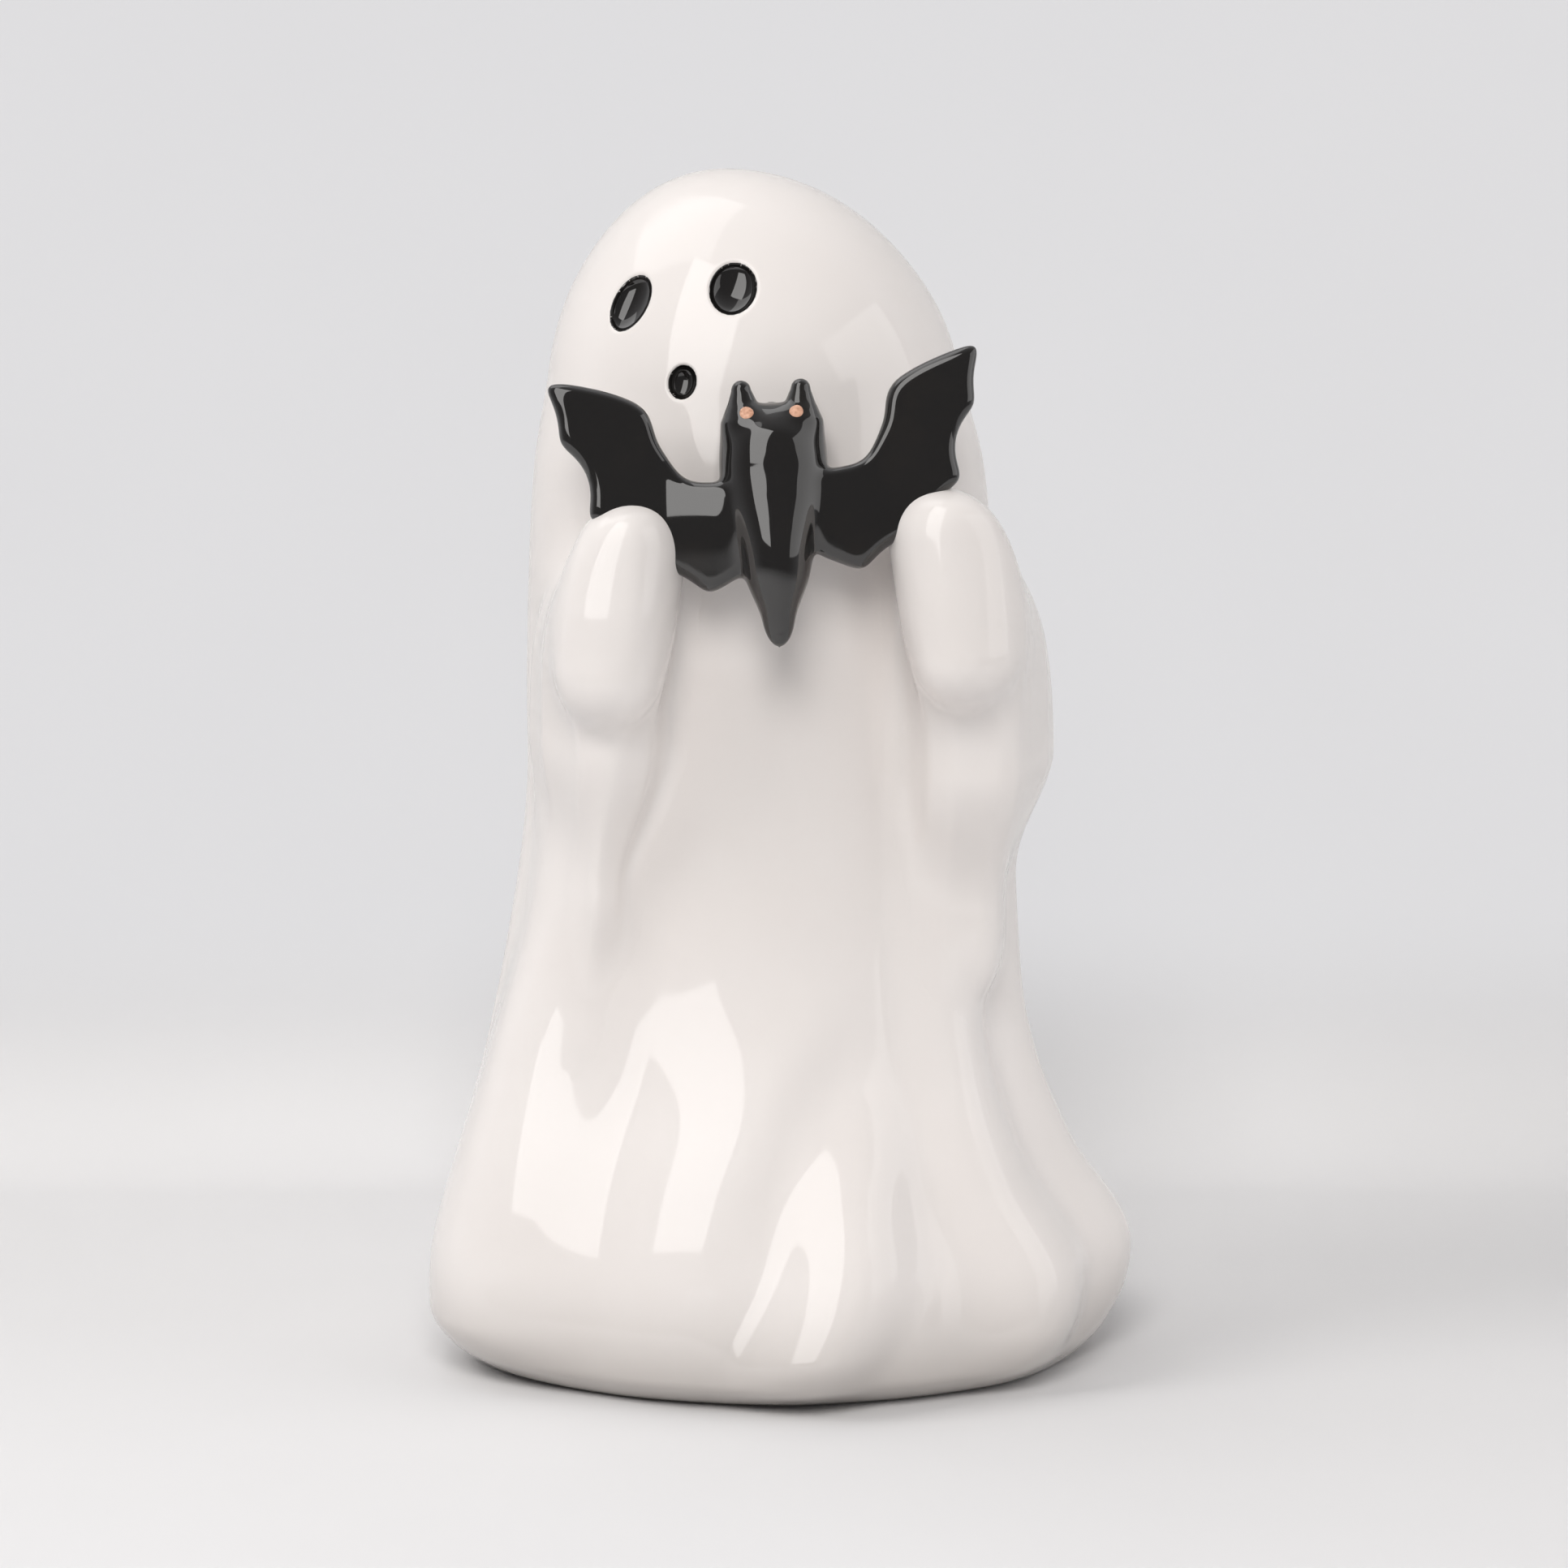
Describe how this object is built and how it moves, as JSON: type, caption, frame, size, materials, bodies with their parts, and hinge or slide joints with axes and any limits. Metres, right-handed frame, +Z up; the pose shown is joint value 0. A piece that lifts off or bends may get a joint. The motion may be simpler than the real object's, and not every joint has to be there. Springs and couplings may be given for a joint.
{
  "type": "ceramic ghost figure",
  "caption": "Hollow glazed ceramic ghost in a draped sheet, with black recessed eyes and mouth, both hands holding a black bat in front of its chest; a free-standing shelf decoration.",
  "frame": {"origin": "on the floor, under the middle of the skirt's outline", "axes": "+Z up; the figure faces -Y; +X is on the right of someone who looks at its face"},
  "size_m": [0.1193, 0.1157, 0.2],
  "materials": {
    "white_glaze": "gloss",
    "black_glaze": "gloss",
    "eye_enamel": "satin"
  },
  "bodies": {
    "root": {"ghost_body": "white_glaze", "left_arm": "white_glaze", "right_arm": "white_glaze", "bat": "black_glaze", "left_eye_glaze": "black_glaze", "right_eye_glaze": "black_glaze", "mouth_glaze": "black_glaze", "bat_left_eye": "eye_enamel", "bat_right_eye": "eye_enamel"}
  },
  "joints": []
}
